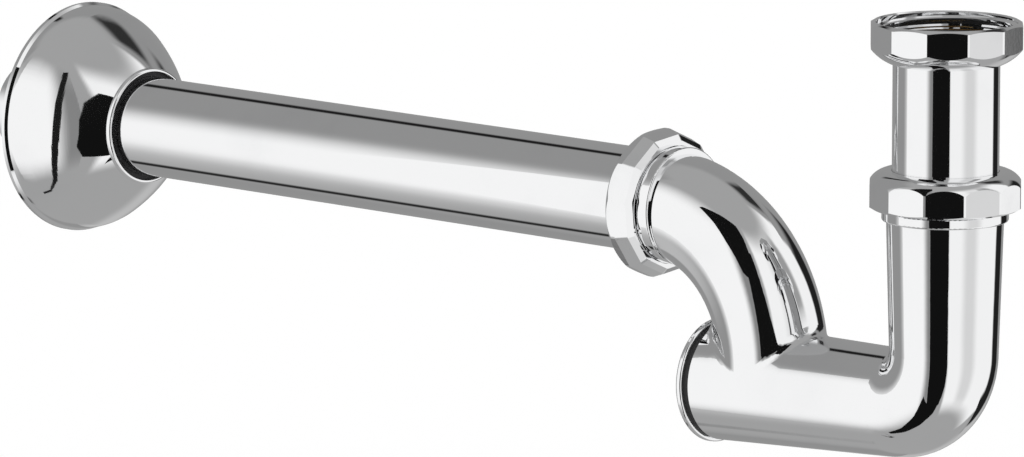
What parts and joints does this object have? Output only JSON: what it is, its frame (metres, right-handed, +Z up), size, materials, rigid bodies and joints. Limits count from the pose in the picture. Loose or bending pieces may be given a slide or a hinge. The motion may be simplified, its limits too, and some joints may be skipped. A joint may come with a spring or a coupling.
{
  "type": "basin trap",
  "caption": "Chromed tubular basin trap: inlet tube and union nuts, cast water-seal body with cleanout plug, and a wall pipe with a sliding bell rosette.",
  "frame": {"origin": "centre of the inlet mouth, in the rim plane of the inlet nut", "axes": "+Z up along the inlet tube, out of the inlet mouth; the wall pipe runs along -X to the wall; the part is symmetric about Y = 0"},
  "size_m": [0.4137, 0.0752, 0.1389],
  "materials": {
    "chromed_brass": "polished chrome plate on brass",
    "black_rubber": "matt moulded rubber",
    "slip_plastic": "plain pale plastic"
  },
  "bodies": {
    "inlet": {"inlet_tube": "chromed_brass", "inlet_gasket": "black_rubber"},
    "inlet_nut": {"inlet_nut": "chromed_brass"},
    "inlet_seal": {"body_cone_seal": "black_rubber", "body_slip_ring": "slip_plastic"},
    "trap": {"trap_body": "chromed_brass"},
    "body_nut": {"body_nut": "chromed_brass"},
    "cleanout_seal": {"cleanout_gasket": "black_rubber"},
    "cleanout": {"cleanout_plug": "chromed_brass"},
    "outlet_nut": {"outlet_nut": "chromed_brass"},
    "outlet_seal": {"outlet_cone_seal": "black_rubber", "outlet_slip_ring": "slip_plastic"},
    "wall_pipe": {"wall_pipe": "chromed_brass"},
    "rosette": {"wall_rosette": "chromed_brass", "rosette_grip_ring": "black_rubber"}
  },
  "joints": [
    {"name": "inlet_nut_turn", "type": "hinge", "parent": "inlet", "child": "inlet_nut", "pos_m": [0, 0, 0], "axis": [0, 0, 1], "continuous": true},
    {"name": "height_adjust", "type": "slide", "parent": "inlet", "child": "inlet_seal", "axis": [0, 0, 1], "range_m": [-0.012, 0.014]},
    {"name": "trap_swivel", "type": "hinge", "parent": "inlet_seal", "child": "trap", "pos_m": [0, 0, -0.0599], "axis": [0, 0, 1], "continuous": true},
    {"name": "body_nut_turn", "type": "hinge", "parent": "trap", "child": "body_nut", "pos_m": [0, 0, -0.0506], "axis": [0, 0, 1], "continuous": true},
    {"name": "cleanout_draw", "type": "slide", "parent": "trap", "child": "cleanout_seal", "axis": [-0.9996, 0, -0.0297], "range_m": [0, 0.01]},
    {"name": "cleanout_turn", "type": "hinge", "parent": "cleanout_seal", "child": "cleanout", "pos_m": [-0.0858, 0, -0.11973], "axis": [-0.9996, 0, -0.0297], "range_deg": [0, 1800]},
    {"name": "outlet_nut_turn", "type": "hinge", "parent": "trap", "child": "outlet_nut", "pos_m": [-0.1121, 0, -0.0676], "axis": [-1, 0, 0], "continuous": true},
    {"name": "outlet_swivel", "type": "hinge", "parent": "trap", "child": "outlet_seal", "pos_m": [-0.1121, 0, -0.0676], "axis": [-1, 0, 0], "continuous": true},
    {"name": "pipe_adjust", "type": "slide", "parent": "outlet_seal", "child": "wall_pipe", "axis": [-1, 0, 0], "range_m": [0, 0.004]},
    {"name": "rosette_slide", "type": "slide", "parent": "wall_pipe", "child": "rosette", "axis": [1, 0, 0], "range_m": [0, 0.2]}
  ],
  "couplings": [
    {"joint": "cleanout_draw", "follows": "cleanout_turn", "m_per_rad": 0.00031831}
  ]
}
